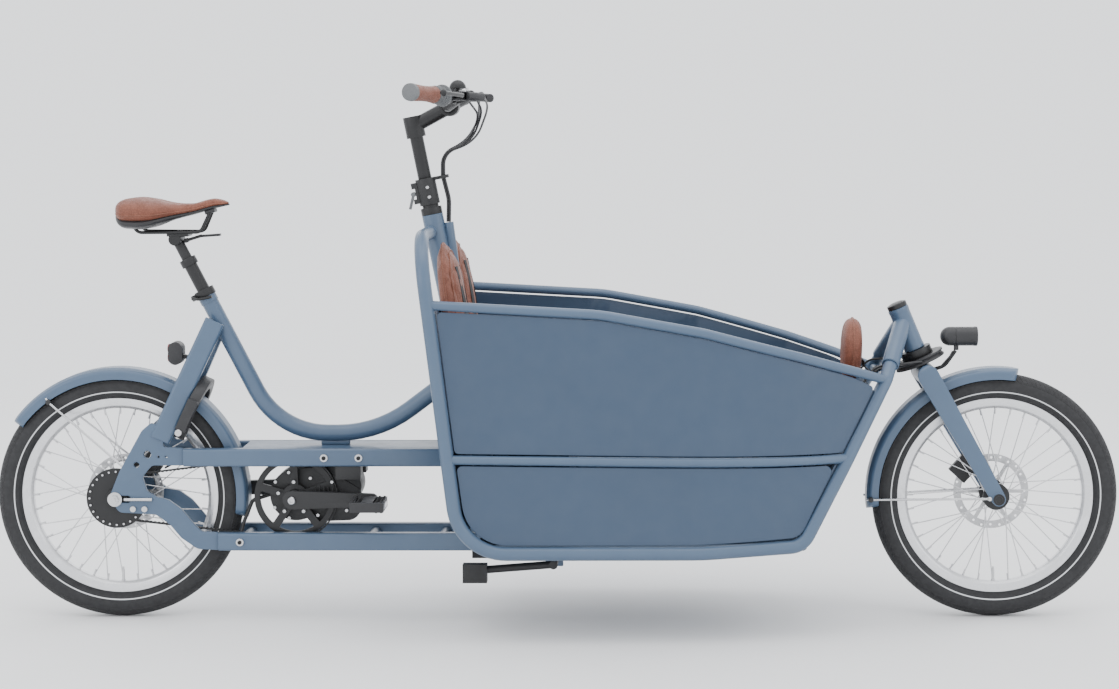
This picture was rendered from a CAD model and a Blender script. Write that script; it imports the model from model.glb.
import math

import bmesh
import bpy
import numpy as np
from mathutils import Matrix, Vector


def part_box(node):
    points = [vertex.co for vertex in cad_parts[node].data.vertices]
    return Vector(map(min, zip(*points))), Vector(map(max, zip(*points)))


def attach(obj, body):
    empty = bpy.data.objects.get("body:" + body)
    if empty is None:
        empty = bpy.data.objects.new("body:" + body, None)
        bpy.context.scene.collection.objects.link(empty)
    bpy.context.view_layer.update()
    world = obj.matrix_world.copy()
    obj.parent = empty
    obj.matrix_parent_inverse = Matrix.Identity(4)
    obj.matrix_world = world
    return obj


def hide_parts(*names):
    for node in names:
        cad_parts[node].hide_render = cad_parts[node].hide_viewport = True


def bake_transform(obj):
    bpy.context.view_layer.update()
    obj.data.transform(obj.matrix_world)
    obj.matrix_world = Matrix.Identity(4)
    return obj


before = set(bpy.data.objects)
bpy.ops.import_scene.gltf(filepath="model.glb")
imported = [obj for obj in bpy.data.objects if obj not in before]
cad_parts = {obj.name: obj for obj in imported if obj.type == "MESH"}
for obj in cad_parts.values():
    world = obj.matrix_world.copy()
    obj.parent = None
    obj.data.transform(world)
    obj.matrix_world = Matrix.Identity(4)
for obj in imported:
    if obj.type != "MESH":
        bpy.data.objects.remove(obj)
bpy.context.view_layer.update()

# %% [markdown]
# # A cargo bicycle, dressed for a studio picture
#
# The CAD model is the fixed frame: its bodies, joints and sizes stay as they are. This lesson builds
# smooth skins for the tubes, panels, wheels and pads round it, and gives every piece a material
# made of noise and cells. Each cell prints what it made.

# %% [markdown]
# ## Camera
#
# A long lens five metres to the rider's right looks along +Y, a little above the rim of the box,
# pitched down by 5.5 degrees.

# %%
scene = bpy.context.scene
camera = bpy.data.objects.new("camera", bpy.data.cameras.new("camera"))
scene.collection.objects.link(camera)
camera.location = (0.173, -5.0, 1.055)
camera.rotation_euler = (math.radians(90 - 5.478), 0, 0)
camera.data.lens = 77.06
camera.data.sensor_width = 36
camera.data.shift_x = -0.0719
camera.data.clip_end = 200
scene.camera = camera
print("camera:", round(camera.data.lens, 1), "mm lens,", round(-camera.location.y, 2), "m away")

# %% [markdown]
# ## Light and floor
#
# A pale world, a floor that fades into it with distance, and four soft boxes. The large one overhead
# gives the long highlight along the top tubes.

# %%
def soft_box(name, at, target, size, power):
    """An area light at a point, turned so that its -Z axis meets the target."""
    data = bpy.data.lights.new(name, "AREA")
    data.shape, data.size, data.size_y, data.energy = "RECTANGLE", size[0], size[1], power
    lamp = bpy.data.objects.new(name, data)
    scene.collection.objects.link(lamp)
    lamp.location = at
    lamp.rotation_euler = (Vector(target) - Vector(at)).to_track_quat("-Z", "Y").to_euler()
    return lamp


soft_box("light_top", (0.2, -0.6, 4.2), (0, 0, 0.4), (5.0, 3.0), 80)
soft_box("light_left", (-4.2, -3.4, 2.6), (-0.3, 0, 0.5), (2.6, 2.6), 45)
soft_box("light_right", (4.6, -3.0, 2.2), (0.4, 0, 0.5), (2.2, 2.6), 28)
soft_box("light_back", (0.0, 4.2, 2.8), (0, 0, 0.6), (4.5, 2.0), 40)

world = bpy.data.worlds.new("studio")
scene.world = world
world.use_nodes = True
world.node_tree.nodes["Background"].inputs["Color"].default_value = (0.95, 0.97, 1.0, 1)
world.node_tree.nodes["Background"].inputs["Strength"].default_value = 1.8
print("four soft boxes and a pale world")

# %% [markdown]
# ## Shader sums
#
# `Value` wraps one shader socket. Plain Python sums on it (`a * 2 + b`, `1 - a`) add Math nodes,
# so that a material below reads as a formula. `Material.node` is the one way to any other node.

# %%
class Value:
    def __init__(self, tree, socket):
        self.tree, self.socket = tree, socket

    def math(self, kind, *args):
        node = self.tree.nodes.new("ShaderNodeMath")
        node.operation = kind
        for value, socket in zip(args, node.inputs):
            plug(self.tree, value, socket)
        return Value(self.tree, node.outputs[0])

    def __add__(self, o): return self.math("ADD", self, o)
    def __radd__(self, o): return self.math("ADD", o, self)
    def __sub__(self, o): return self.math("SUBTRACT", self, o)
    def __rsub__(self, o): return self.math("SUBTRACT", o, self)
    def __mul__(self, o): return self.math("MULTIPLY", self, o)
    def __rmul__(self, o): return self.math("MULTIPLY", o, self)
    def __truediv__(self, o): return self.math("DIVIDE", self, o)
    def __rtruediv__(self, o): return self.math("DIVIDE", o, self)
    def __gt__(self, o): return self.math("GREATER_THAN", self, o)
    def __lt__(self, o): return self.math("LESS_THAN", self, o)
    def __pow__(self, o): return self.math("POWER", self, o)
    def abs(self): return self.math("ABSOLUTE", self)
    def sin(self): return self.math("SINE", self)
    def frac(self): return self.math("FRACT", self)


def plug(tree, value, socket):
    if isinstance(value, Value):
        tree.links.new(value.socket, socket)
    else:
        socket.default_value = value


class Material:
    """A Principled material. Constants are set on the shader itself, and what varies is plugged in."""

    def __init__(self, name, **constants):
        self.data = bpy.data.materials.new(name)
        self.data.use_nodes = True
        self.tree = self.data.node_tree
        self.shader = self.tree.nodes["Principled BSDF"]
        for key, value in constants.items():
            self.shader.inputs[key.replace("_", " ")].default_value = value
        self.where = self.node("TexCoord", out="Object")

    def node(self, kind, out=0, inputs=None, **settings):
        made = self.tree.nodes.new("ShaderNode" + kind)
        for key, value in settings.items():
            setattr(made, key, value)
        for key, value in (inputs or {}).items():
            plug(self.tree, value, made.inputs[key])
        return Value(self.tree, made.outputs[out])

    def noise(self, scale, detail=3, rough=0.5, at=None):
        return self.node("TexNoise",
            inputs={"Vector": at or self.where, "Scale": scale, "Detail": detail, "Roughness": rough})

    def cells(self, scale, out="Distance", at=None, **settings):
        return self.node("TexVoronoi", out=out, inputs={"Vector": at or self.where, "Scale": scale},
            **settings)

    def stretch(self, x, y, z):
        """Object coordinates scaled by one factor an axis, for brushed or woven marks."""
        return self.node("VectorMath", inputs={0: self.where, 1: (x, y, z)}, operation="MULTIPLY")

    def axis(self, i):
        return self.node("SeparateXYZ", out=i, inputs={0: self.where})

    def reach(self):
        """The distance from the object's origin."""
        return self.node("VectorMath", out=1, inputs={0: self.where}, operation="LENGTH")

    def uv(self, i):
        return self.node("SeparateXYZ", out=i, inputs={0: self.node("UVMap", uv_map="uv")})

    def span(self, value, a, b, to_a=0.0, to_b=1.0):
        """to_a at a and to_b at b, straight between and flat outside."""
        return self.node("MapRange", inputs={0: value, 1: a, 2: b, 3: to_a, 4: to_b})

    def mix(self, share, a, b):
        made = self.tree.nodes.new("ShaderNodeMix")
        made.data_type = "RGBA"
        for value, socket in ((share, made.inputs[0]), (a, made.inputs[6]), (b, made.inputs[7])):
            plug(self.tree, value, socket)
        return Value(self.tree, made.outputs[2])

    def give(self, name, value):
        plug(self.tree, value, self.shader.inputs[name])
        return self

    def bump(self, height, depth, strength=1.0):
        """Raises the shading normal by height times depth, in metres."""
        return self.give("Normal",
            self.node("Bump", inputs={"Height": height, "Distance": depth, "Strength": strength}))


def shade(colour, k):
    return (colour[0] * k, colour[1] * k, colour[2] * k, 1)


# %% [markdown]
# ## Paints, metals and plastics
#
# Satin paint is a base colour with a slow drift, an orange-peel bump, a little dust and a thin coat.
# Metals take fine stretched noise in roughness, which reads as brushing or casting.

# %%
def paint(name, colour, rough=0.42):
    m = Material(name, Coat_Roughness=0.28, Specular_IOR_Level=0.5)
    drift = m.noise(5.0, 4)
    dust = m.span(m.noise(55, 6, 0.7), 0.5, 0.9)
    m.give("Base Color", m.mix(dust * 0.12, m.mix(drift, shade(colour, 0.94), shade(colour, 1.06)),
        shade(colour, 1.5)))
    m.give("Roughness", m.span(m.noise(18, 5, 0.65), 0.25, 0.75, rough - 0.07, rough + 0.08) + dust * 0.08)
    m.give("Coat Weight", m.span(m.noise(30, 3), 0.3, 0.7, 0.16, 0.3))
    m.bump(m.noise(620, 2) * 0.7 + m.noise(90, 2) * 0.3, 0.0003, 0.35)
    return m.data


def metal(name, colour, rough, grain=(1, 1, 1), cast=0.0, metallic=1.0):
    m = Material(name, Metallic=metallic, Specular_IOR_Level=0.5)
    brush = m.noise(160, 5, 0.7, m.stretch(*grain))
    spots = m.cells(420, feature="F1")
    worn = m.span(m.noise(26, 6, 0.72), 0.55, 0.85)
    m.give("Base Color", m.mix(worn * 0.5, m.mix(brush, shade(colour, 0.8), shade(colour, 1.1)),
        shade(colour, 1.45)))
    m.give("Roughness", m.span(brush, 0.25, 0.75, rough - 0.08, rough + 0.12) + worn * 0.08)
    m.bump(brush * (1 - cast) + spots * cast, 0.0004, 0.25 + cast * 0.35)
    return m.data


def plastic(name, colour, rough, grain=900, depth=0.00025):
    """Moulded plastic: fine cells for the grain, slow noise for handling marks."""
    m = Material(name, Specular_IOR_Level=0.45)
    pits = m.cells(grain)
    worn = m.span(m.noise(34, 5, 0.7), 0.5, 0.8)
    m.give("Base Color", m.mix(worn * 0.35, m.mix(pits, shade(colour, 0.8), shade(colour, 1.15)),
        shade(colour, 1.9)))
    m.give("Roughness", m.span(m.noise(60, 4), 0.3, 0.7, rough - 0.06, rough + 0.08))
    m.bump(pits + m.noise(grain * 0.6, 2) * 0.5, depth, 0.5)
    return m.data


blue = (0.055, 0.093, 0.152)
tube_paint = paint("satin_blue", shade(blue, 1.08), 0.4)
panel_paint = paint("panel_blue", (0.027, 0.054, 0.1), 0.46)
black_metal = metal("black_metal", (0.017, 0.017, 0.018), 0.38, cast=0.3, metallic=0.3)
cast_black = metal("cast_black", (0.022, 0.022, 0.023), 0.48, cast=0.9, metallic=0.25)
steel = metal("bright_steel", (0.62, 0.62, 0.63), 0.26, (1, 1, 6))
alloy = metal("rim_alloy", (0.72, 0.725, 0.74), 0.3, (1, 6, 1))
disc_steel = metal("disc_steel", (0.5, 0.5, 0.51), 0.3, (1, 8, 1))
black_plastic = plastic("black_plastic", (0.02, 0.02, 0.022), 0.46)
grey_plastic = plastic("grey_plastic", (0.12, 0.125, 0.13), 0.5, 700)
rubber = plastic("belt_rubber", (0.016, 0.016, 0.017), 0.62, 500, 0.0004)
jacket = plastic("cable_jacket", (0.018, 0.018, 0.02), 0.36, 1500, 0.0001)
webbing_mark = plastic("webbing", (0.03, 0.03, 0.032), 0.8, 1300, 0.0005)
print(len(bpy.data.materials), "materials so far")

# %% [markdown]
# Leather has cells of two sizes: the large ones are the grain, the small ones the pores between.
# Creases come from ridged noise, `1 - |2 n - 1|`, and darken the colour where they are deep.

# %%
def leather(name, colour):
    m = Material(name, Specular_IOR_Level=0.4, Sheen_Weight=0.06, Sheen_Roughness=0.4)
    grain = m.cells(210, "Distance", feature="DISTANCE_TO_EDGE")
    pores = m.cells(520)
    folds = 1 - (m.noise(17, 5, 0.6) * 2 - 1).abs()
    crease = m.span(folds, 0.86, 1.0)
    edge = m.span(grain, 0.0, 0.16)
    tone = m.mix(m.noise(9, 4), shade(colour, 0.82), shade(colour, 1.18))
    m.give("Base Color", m.mix((1 - edge) * 0.45 + crease * 0.25, tone, shade(colour, 0.45)))
    m.give("Roughness", 0.62 - edge * 0.14 + crease * 0.12)
    m.bump(edge * 0.75 + pores * 0.25 - crease * 0.4, 0.0006, 0.55)
    return m.data


tan = leather("tan_leather", (0.215, 0.072, 0.043))

# Tyre rubber: the swept skin's uv runs once round the wheel (u) and across the section (v), 0 and 1
# at the two beads. The tread is a grid of slanted blocks near v = 0.5; the reflective band lies at v
# = 0.13 and 0.87.
m = Material("tyre_rubber", Specular_IOR_Level=0.35)
u, v = m.uv(0), m.uv(1)
side = (v - 0.5).abs()
slant = (u * 150 + side * 9).frac()
rows = (side * 26).frac()
block = m.span(slant, 0.1, 0.2) * m.span(slant, 0.98, 0.86) * m.span(rows, 0.08, 0.22)
tread = m.span(side, 0.22, 0.2)
band = m.span(side, 0.363, 0.366) * m.span(side, 0.384, 0.381)
ribs = m.span((side * 90).sin(), -0.5, 0.9) * m.span(side, 0.4, 0.42)
fine = m.noise(700, 3)
m.give("Base Color", m.mix(band,
    m.mix(m.noise(40, 5, 0.7), (0.012, 0.012, 0.013, 1), (0.03, 0.03, 0.032, 1)), (0.62, 0.63, 0.64, 1)))
m.give("Roughness", m.span(m.noise(120, 4), 0.3, 0.7, 0.55, 0.75) - band * 0.2)
m.bump(block * tread + ribs * 0.25 + fine * 0.12 + band * 0.1, 0.0018, 0.9)
tyre_rubber = m.data

m = Material("studio_floor", Specular_IOR_Level=0.2)
m.give("Base Color", m.mix(m.noise(3, 5), (0.86, 0.86, 0.86, 1), (0.9, 0.9, 0.9, 1)))
m.give("Alpha", m.span(m.reach(), 1.6, 5.5, 1, 0))
m.give("Roughness", m.span(m.noise(14, 4), 0.3, 0.7, 0.6, 0.75))
floor_material = m.data
print("leather, tyre and floor materials made")

# %% [markdown]
# ## Shapes as functions
#
# All shapes below are arrays in millimetres. `bend` turns a few corner points into straight runs and
# arcs: at a corner that turns by t, an arc of radius r starts r tan(t / 2) before the corner.
# `carry` moves a normal along the path without twist, and `sweep` lays a section in that frame.

# %%
A = np.array


def unit(v):
    v = A(v, float)
    return v / np.linalg.norm(v)


def bend(points, radii, closed=False):
    """Corner points and one radius for each corner give a path with arcs of about 6 degrees a step."""
    p = A(points, float)
    n = len(p)
    inner = range(n) if closed else range(1, n - 1)
    radii = np.broadcast_to(radii, len(list(inner)))
    out = [] if closed else [p[0]]
    for r, i in zip(radii, inner):
        a, b = unit(p[i - 1] - p[i]), unit(p[(i + 1) % n] - p[i])
        turn = math.pi - math.acos(np.clip(a @ b, -1, 1))
        if turn < 0.01 or r <= 0:
            out.append(p[i])
            continue
        reach = min(r * math.tan(turn / 2), 0.49 * np.linalg.norm(p[i - 1] - p[i]),
            0.49 * np.linalg.norm(p[(i + 1) % n] - p[i]))
        r = reach / math.tan(turn / 2)
        centre = p[i] + unit(a + b) * r / math.cos(turn / 2)
        start, across = p[i] + a * reach - centre, -a
        for t in np.linspace(0, turn, max(3, int(turn / 0.1) + 2)):
            out.append(centre + start * math.cos(t) + across * r * math.sin(t))
    if not closed:
        out.append(p[-1])
    out = A(out)
    keep = np.r_[True, np.linalg.norm(np.diff(out, axis=0), axis=1) > 0.05]
    return out[keep]


def carry(path, up):
    """Tangent, normal and binormal along a path; the normal is carried without twist."""
    t = np.gradient(path, axis=0)
    t /= np.linalg.norm(t, axis=1, keepdims=True)
    n = np.zeros_like(t)
    last = A(up, float)
    if abs(last @ t[0]) > 0.95:
        last = A([t[0][1], t[0][2], t[0][0]])
    for i in range(len(t)):
        last = unit(last - (last @ t[i]) * t[i])
        n[i] = last
    return t, n, np.cross(t, n)


def sweep(path, section, up=(0, 1, 0), grow=None):
    """A closed section (along the normal, along the binormal) swept along a path; grow scales each ring."""
    path = A(path, float)
    t, n, b = carry(path, up)
    s = A(section, float)
    k = np.ones((len(path), 2)) if grow is None else np.broadcast_to(A(grow, float), (len(path), 2))
    return path[:, None] + (s[None, :, :1] * k[:, None, :1]) * n[:,
        None] + (s[None, :, 1:] * k[:, None, 1:]) * b[:, None]


def circle(r, n=28):
    a = np.linspace(0, 2 * np.pi, n, endpoint=False)
    return np.stack([r * np.cos(a), r * np.sin(a)], 1)


def round_rect(w, d, r):
    return bend([(-w / 2, -d / 2), (w / 2, -d / 2), (w / 2, d / 2), (-w / 2, d / 2)], r, closed=True)


def part(points, wrap=(False, True), caps=True, m=0):
    """A grid of points (rings x points x 3) as faces, with u along the rings and v round each ring."""
    P = A(points, float)
    nu, nv = P.shape[:2]
    cu, cv = nu - (not wrap[0]), nv - (not wrap[1])
    i, j = [g.ravel() for g in np.meshgrid(np.arange(cu), np.arange(cv), indexing="ij")]
    corners = [(i, j), (i + 1, j), (i + 1, j + 1), (i, j + 1)]
    faces = np.stack([(x % nu) * nv + y % nv for x, y in corners], 1).tolist()
    uv = np.stack([np.stack([x / cu, y / cv], 1) for x, y in corners], 1).reshape(-1, 2)
    if caps and not wrap[0] and wrap[1]:
        faces += [list(range(nv))[::-1], [(nu - 1) * nv + k for k in range(nv)]]
        uv = np.vstack([uv, np.zeros((2 * nv, 2))])
    return P.reshape(-1, 3), faces, uv, m


def tube(points, radii, r, m=0, n=28, up=(0, 1, 0)):
    return part(sweep(bend(points, radii) if len(points) > 2 else A(points, float), circle(r, n), up), m=m)


def bar(a, b, w, d, r=4, bevel=1.5, m=0, up=(0, 1, 0)):
    """A rounded bar from a to b, w across the up direction and d the other way, with small end bevels."""
    a, b = A(a, float), A(b, float)
    t = unit(b - a)
    path = [a, a + t * bevel * 0.3, a + t * bevel, b - t * bevel, b - t * bevel * 0.3, b]
    k = 1 - A([[bevel], [bevel * 0.3], [0], [0], [bevel * 0.3], [bevel]]) * 2 / A([[w, d]])
    return part(sweep(path, round_rect(w, d, r), up, k), m=m)


def spin(section, centre, start=0, stop=360, n=128, taper=0, m=0, wrap=True):
    """A section (radius, y) turned about Y through centre, from +X towards +Z. taper narrows both ends."""
    full = stop - start >= 360
    a = np.radians(np.linspace(start, stop, n, endpoint=not full))[:, None]
    s = A(section, float)
    k = np.ones_like(a)
    if taper:
        edge = np.minimum(np.degrees(a) - start, stop - np.degrees(a)) / taper
        k = np.sqrt(np.clip(1 - (1 - np.clip(edge, 0.02, 1)) ** 2, 0, 1))
    P = np.stack([centre[0] + s[:, 0] * np.cos(a), centre[1] + s[:, 1] * k,
        centre[2] + s[:, 0] * np.sin(a)], 2)
    return part(P, (full, wrap), m=m)


def turned(profile, a, b, n=40, m=0):
    """A profile (distance along a to b, radius) turned about that axis; ends at radius 0 close at a pole."""
    a = A(a, float)
    w = unit(A(b, float) - a)
    side = unit(np.cross(w, (0, 1, 0) if abs(w[1]) < 0.9 else (1, 0, 0)))
    ang = np.linspace(0, 2 * np.pi, n, endpoint=False)[None, :, None]
    s = A(profile, float)[:, None, :]
    ring = side * np.cos(ang) + np.cross(w, side) * np.sin(ang)
    return part(a + w * s[..., :1] + ring * np.maximum(s[..., 1:], 0.01), m=m)


def plate(outline, y, thick, holes=(), bevel=0.8, m=0):
    """A flat plate in the XZ plane with its middle at y. A filled 2-D curve gives the rounded edge."""
    data = bpy.data.curves.new("scratch", "CURVE")
    data.dimensions, data.fill_mode = "2D", "BOTH"
    data.extrude, data.bevel_depth, data.bevel_resolution, data.offset = thick / 2 - bevel, bevel, 2, -bevel
    for loop in (outline, *holes):
        s = data.splines.new("POLY")
        s.points.add(len(loop) - 1)
        s.points.foreach_set("co", np.column_stack([loop, np.zeros(len(loop)), np.ones(len(loop))]).ravel())
        s.use_cyclic_u = True
    made = bpy.data.objects.new("scratch", data)
    scene.collection.objects.link(made)
    bpy.context.view_layer.update()
    mesh = made.to_mesh()
    v = A([p.co[:] for p in mesh.vertices])
    faces = [list(f.vertices) for f in mesh.polygons]
    made.to_mesh_clear()
    bpy.data.objects.remove(made)
    bpy.data.curves.remove(data)
    return np.stack([v[:, 0], y - v[:, 2], v[:, 1]], 1), faces, np.zeros((sum(map(len, faces)), 2)), m


def both(*parts):
    """The parts and their mirror images across the centre plane."""
    return [q for v, f, uv, m in parts for q in ((v, f, uv, m), (v * (1, -1, 1), f, uv, m))]


counts = {}


def build(name, parts, materials, sharp=38):
    """One mesh from many parts: doubles welded, faces turned outwards, edges above the angle kept sharp."""
    verts = np.vstack([p[0] for p in parts]) * 0.001
    faces, mats, at = [], [], 0
    for v, f, uv, m in parts:
        faces += [[k + at for k in face] for face in f]
        mats += [m] * len(f)
        at += len(v)
    mesh = bpy.data.meshes.new(name)
    mesh.from_pydata(verts.tolist(), [], faces)
    mesh.polygons.foreach_set("material_index", mats)
    layer = mesh.uv_layers.new(name="uv")
    layer.data.foreach_set("uv", np.vstack([p[2] for p in parts]).ravel())
    for x in materials if isinstance(materials, (list, tuple)) else [materials]:
        mesh.materials.append(x)
    b = bmesh.new()
    b.from_mesh(mesh)
    bmesh.ops.remove_doubles(b, verts=b.verts, dist=1e-6)
    bmesh.ops.recalc_face_normals(b, faces=b.faces)
    b.to_mesh(mesh)
    b.free()
    mesh.shade_smooth()
    mesh.set_sharp_from_angle(angle=math.radians(sharp))
    made = bpy.data.objects.new(name, mesh)
    scene.collection.objects.link(made)
    return made


def dress(made, body, nodes=()):
    """The piece rides on a body and stands for CAD nodes; prints how far its box is from theirs."""
    if body:
        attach(made, body)
    if nodes:
        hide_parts(*nodes)
        lo = np.min([A(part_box(n)[0]) for n in nodes], 0)
        hi = np.max([A(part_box(n)[1]) for n in nodes], 0)
        co = A([made.matrix_world @ v.co for v in made.data.vertices])
        off = np.abs(np.r_[co.min(0) - lo, co.max(0) - hi]).max() * 1000
        print(f"{made.name}: {len(made.data.polygons)} faces for {', '.join(nodes)}; box off by {off:.1f} mm")
    counts[made.name] = len(made.data.polygons)
    return made


def piece(name, body, parts, materials, nodes=(), sharp=38):
    return dress(build(name, parts, materials, sharp), body, nodes)


# %% [markdown]
# ## Design sizes
#
# The wheels are read from the CAD boxes. The rest are the round sizes that the CAD was drawn with.

# %%
tyre_lo, tyre_hi = (A(v) * 1000 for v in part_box("front_tyre"))
wheel_r = (tyre_hi[2] - tyre_lo[2]) / 2
axle_x = (tyre_hi[0] + tyre_lo[0]) / 2
axle_z = wheel_r
rail_y, upper_z, lower_z = 62, 346, 169
rail_w, rail_h, main_r = 24, 37, 17.5
box_half, nose_half, loop_r, rail_r = 290, 130, 14, 9.5
arch_z, sill_z = 812, 184
back_w, back_h, back_t, back_y = 184, 330, 44, 116
nose = A([676, 515])
sill_front = A([500, 192])
seat_dir = A([-math.sin(math.radians(27)), 0, math.cos(math.radians(27))])
seat_top = A([-733, 0, 677])
col_dir = A([-math.sin(math.radians(11.2)), 0, math.cos(math.radians(11.2))])
col_top = A([-263, 0, 863])
fork_dir = A([-math.sin(math.radians(23)), 0, math.cos(math.radians(23))])
fork_o = A([759, 0, 544])
crown = fork_o - 31 * fork_dir


def leg_x(z):
    return -195 - (z - 253) * math.tan(math.radians(7))


def half_w(x):
    """Half width of the box: straight to x = 60, then closing as the 3.9th power towards the nose."""
    s = np.clip((A(x, float) - 60) / (nose[0] - 60), 0, 1)
    return box_half - (box_half - nose_half) * s**3.9


def on_side(p):
    """A point of the side view laid on the right side of the box."""
    return [p[0], -float(half_w(p[0])), p[1]]


print("wheel radius", round(wheel_r, 1), "mm, axles", round(2 * axle_x, 1), "mm apart")


# %% [markdown]
# ## Frame tubes
#
# Round tubes are circles swept along bent paths. Rectangular rails are rounded bars. A ring of weld
# lies where two tubes meet: a small swept bead with ripples, r = 1.7 + 0.35 sin(22 a).

# %%
def weld(at, axis, r, m=0):
    """A rippled bead round a tube of radius r at a point."""
    axis = unit(axis)
    side = unit(np.cross(axis, (0.3, 1, 0.2)))
    a = np.linspace(0, 2 * np.pi, 64, endpoint=False)
    ring = A(at) + r * (np.cos(a)[:, None] * side + np.sin(a)[:, None] * np.cross(axis, side))
    out = (ring - A(at)) / r
    s = circle(1, 10)
    k = (1.7 + 0.35 * np.sin(22 * a))[:, None, None]
    return part(ring[:, None] + k * (s[None, :, :1] * out[:, None] + s[None, :, 1:] * axis), (True, True),
        m=m)


main_points = [seat_top, [-586.3, 0, 389], [-377, 0, 389], [-238, 0, 494]]
piece("main_tube_skin", "frame", [
    tube(main_points, [185, 262], main_r, n=36),
    part(sweep([seat_top - seat_dir * 14, seat_top - seat_dir * 13, seat_top + seat_dir * 0.1],
        circle(19, 36))),
    bar([-467, 0, 364.6], [-467, 0, 376], 12, 60, 2),
    weld([-240, 0, 492.5], (139, 0, 105), main_r)],
    tube_paint, ["main_tube"])

rails = both(
    bar([-776, rail_y, upper_z], [leg_x(upper_z) - 9.8, rail_y, upper_z], rail_w, rail_h, 5),
    bar([-706, rail_y, lower_z], [430, rail_y, lower_z], rail_w, rail_h, 5),
    bar([-5, rail_y, 117], [-5, rail_y, 152], 12, 36, 2))
# The deck plate over the upper rails, the bridges under it, and the rods between the lower rails
rails += [bar([-656, 0, upper_z + 17], [leg_x(upper_z) - 9.8, 0, upper_z + 17], 2 * rail_y - 6, 3, 0.6)]
rails += [bar([x + 21, -rail_y, 353.2], [x + 21, rail_y, 353.2], 22.5, 42, 4, up=(0, 0, 1))
    for x in (-656, -420, -290)]
rails += [tube([[x, -rail_y, lower_z], [x, rail_y, lower_z]], [], 11) for x in (-655, -390, -240, 60, 380)]
piece("rails_skin", "frame", rails, tube_paint, ["frame_rails"])

stay_top, stay_foot = A([-712, 28, 627]), A([-825, rail_y, 382])
bridge = stay_top + unit(stay_foot - stay_top) * 95
axle_plate = [
    (-812, 407), (-819, 368), (-776, 365), (-776, 329), (-842, 329), (-862, 305), (-853, 275), (-834, 263),
    (-809, 257), (-783, 238), (-755, 204), (-741, 190), (-706, 188), (-706, 151), (-750, 153), (-784, 177),
    (-806, 204), (-835, 226), (-912, 230), (-932, 262), (-910, 316), (-862, 402), (-843, 418)]
corner_radii = [4, 6, 3, 3, 14, 12, 12, 20, 20, 20, 20, 14, 3, 3, 24, 24, 20, 24, 16, 22, 20, 30, 6]
drop = bend(axle_plate, corner_radii, closed=True)
slot_hole = np.vstack([A([-axle_x, axle_z]) + circle(7.2, 32)[8:25],
    A([-axle_x + 26, axle_z]) + circle(7.2, 32)[np.r_[24:32, 0:9]]])
holes = [slot_hole, A([-851, 352]) + circle(8, 24), A([-874, 330]) + circle(6, 24),
    A([-828, 347]) + circle(2.6, 16), A([-812, 347]) + circle(2.6, 16)]
piece("stays_skin", "frame", both(
    bar(stay_top, stay_foot, 20, 42, 7, 2),
    plate(drop, rail_y, 10, holes, 1.4))
    + [tube([bridge * (1, -1, 1) + [0, -2, 0], bridge + [0, 2, 0]], [], 9)],
    tube_paint, ["rear_stays"])

rim_line = [[leg_x(681), 681], [94, 662], [300, 625], [492, 574], [600, 541], list(nose)]
mid_line = [[leg_x(373), 373], [300, 367], [490, 365], [586, 364]]
nose_pt = A([nose[0], -nose_half, nose[1]])
head_join = fork_o + 89 * fork_dir
dir_up = unit([head_join[0] - nose[0], nose_half, head_join[2] - nose[1]])


def fine(points, radii):
    """A bent path with extra rings, so that it can follow the curved side."""
    p = bend(points, radii)
    out = [p[0]]
    for a, b in zip(p[:-1], p[1:]):
        n = max(1, int(np.linalg.norm(b - a) / 24))
        out += [a + (b - a) * k / n for k in range(1, n + 1)]
    return A(out)


def side_rail(line, radii, r):
    flat = fine([[p[0], 0, p[1]] for p in line], radii)
    flat[:, 1] = -half_w(flat[:, 0])
    return part(sweep(flat, circle(r, 20), (0, 0, 1)))


loop_line = [
    [leg_x(arch_z), 0, arch_z], [leg_x(arch_z), -box_half, arch_z], [leg_x(sill_z), -box_half, sill_z],
    [300, -float(half_w(300)), sill_z], on_side(sill_front), on_side([590, 357]), nose_pt,
    nose_pt + dir_up * 45]
loop = part(sweep(bend(loop_line, [105, 105, 250, 45, 200, 25]), circle(loop_r, 30), (1, 0, 0)))
cross_bars = (
    (leg_x(494), 494, box_half), (leg_x(upper_z), upper_z, box_half), (nose[0], nose[1], nose_half),
    (sill_front[0], sill_front[1], float(half_w(500))))
cross = [tube([[x, -w, z], [x, w, z]], [], rail_r, n=24) for x, z, w in cross_bars]
piece("box_tubes", "frame",
    both(loop, side_rail(rim_line, [300, 250, 250, 200], rail_r), side_rail(mid_line, [250, 200], rail_r))
    + cross,
    tube_paint, ["box_frame"])

start = nose_pt * (1, -1, 1) + A([dir_up[0], -dir_up[1], dir_up[2]]) * 45.2
piece("front_tubes", "frame", both(tube([start, head_join], [], 18, n=32),
    weld(start, (dir_up[0], -dir_up[1], dir_up[2]), 16))
    + [part(sweep([fork_o + fork_dir * s for s in (24, 25.5, 27, 32, 33, 109, 110, 115.5, 117, 118)],
        circle(22, 40), grow=A([0.93, 1, 1, 1, 0.975, 0.975, 1, 1, 1, 0.93])[:, None]))],
    tube_paint, ["front_frame"])

# %% [markdown]
# ## Box panels
#
# Each side panel starts as a flat plate with round corners, drawn in the side view. Cuts every 18 mm
# give it rows of points, and each point then moves out by the half width at its x, so that the
# panel curves in towards the nose.

# %%
diag = unit(nose - sill_front)


def diag_at(z, off):
    return (sill_front[0] + (z - sill_front[1]) * diag[0] / diag[1] - off / diag[1], z)


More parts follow.
